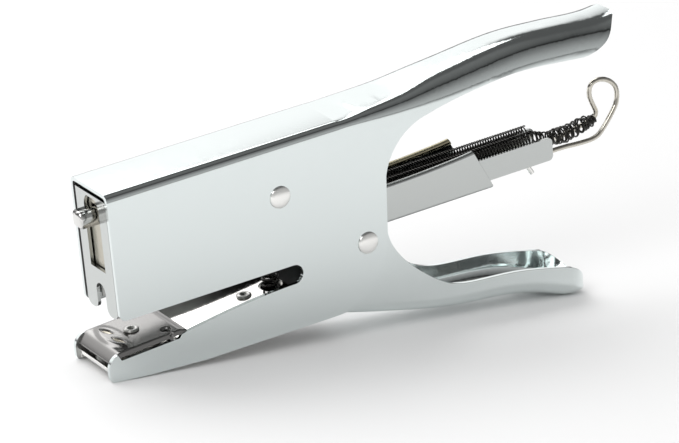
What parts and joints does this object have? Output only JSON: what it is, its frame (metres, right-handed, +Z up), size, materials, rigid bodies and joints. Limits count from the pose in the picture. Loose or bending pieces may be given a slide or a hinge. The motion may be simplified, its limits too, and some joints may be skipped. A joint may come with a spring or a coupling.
{
  "type": "plier stapler",
  "caption": "plier stapler: pressed C-frame with fixed upper handle, hinged lower handle, swinging staple magazine, driver blade, pull-out loader with wire loop",
  "frame": {"origin": "centre of the bounding box's footprint on the surface the stapler stands on; it stands on the tip of its lower jaw and the tip of its lower handle", "axes": "+X runs from the jaws to the handle ends, +Y runs across the frame from one side plate to the other, +Z is up from the table"},
  "size_m": [0.1888, 0.0238, 0.0906],
  "materials": {
    "plated_sheet": "bright nickel-chrome plated pressed steel",
    "bright_sheet": "mirror plated steel",
    "zinc_part": "zinc plated steel",
    "anvil_steel": "satin plated stamping",
    "rivet_nickel": "nickel plated rivet and wire",
    "spring_black": "oil-black music wire",
    "magazine_nickel": "nickel plated thin sheet",
    "staple_wire": "galvanised staple wire",
    "hard_steel": "hardened steel strip"
  },
  "bodies": {
    "frame": {"frame_shell": "plated_sheet", "base_channel": "bright_sheet", "spring_cup": "zinc_part", "base_screw": "zinc_part", "anvil_plate": "anvil_steel", "anvil_rivet": "zinc_part", "pivot_rivet": "rivet_nickel", "front_rivet": "rivet_nickel", "front_spacer": "zinc_part", "handle_return_spring": "spring_black", "magazine_lift_spring": "spring_black"},
    "lever": {"lower_handle": "plated_sheet", "drive_beak": "zinc_part", "beak_pin": "zinc_part"},
    "magazine": {"magazine_channel": "magazine_nickel", "magazine_bracket": "zinc_part", "nose_plate": "magazine_nickel", "nose_welds": "magazine_nickel", "staple_rail": "zinc_part", "staple_strip": "staple_wire"},
    "driver": {"driver_blade": "hard_steel"},
    "loader": {"loader_channel": "magazine_nickel", "staple_pusher": "zinc_part", "pusher_link": "zinc_part", "pull_rod": "rivet_nickel", "rod_pin": "rivet_nickel", "pusher_springs": "spring_black", "rod_spring": "spring_black"}
  },
  "joints": [
    {"name": "lever_pivot", "type": "hinge", "parent": "frame", "child": "lever", "pos_m": [-0.0012, 0, 0.03053], "axis": [0, -1, 0], "range_deg": [0, 12.25], "stiffness_Nm_per_rad": 2.5, "springref_deg": -8.59, "deforming": ["handle_return_spring"]},
    {"name": "magazine_pivot", "type": "hinge", "parent": "frame", "child": "magazine", "pos_m": [-0.0012, 0, 0.03053], "axis": [0, -1, 0], "range_deg": [0, 4.2], "deforming": ["magazine_lift_spring"]},
    {"name": "driver_slide", "type": "slide", "parent": "magazine", "child": "driver", "axis": [0.1585, 0, -0.9874], "range_m": [0, 0.01158]},
    {"name": "loader_slide", "type": "slide", "parent": "magazine", "child": "loader", "axis": [0.9874, 0, 0.1585], "range_m": [0, 0.04], "stiffness_N_per_m": 15, "springref_m": -0.02, "deforming": ["pusher_springs", "rod_spring"]}
  ],
  "couplings": [
    {"joint": "magazine_pivot", "follows": "lever_pivot", "ratio": 0.34286},
    {"joint": "driver_slide", "follows": "lever_pivot", "m_per_rad": 0.05276}
  ]
}
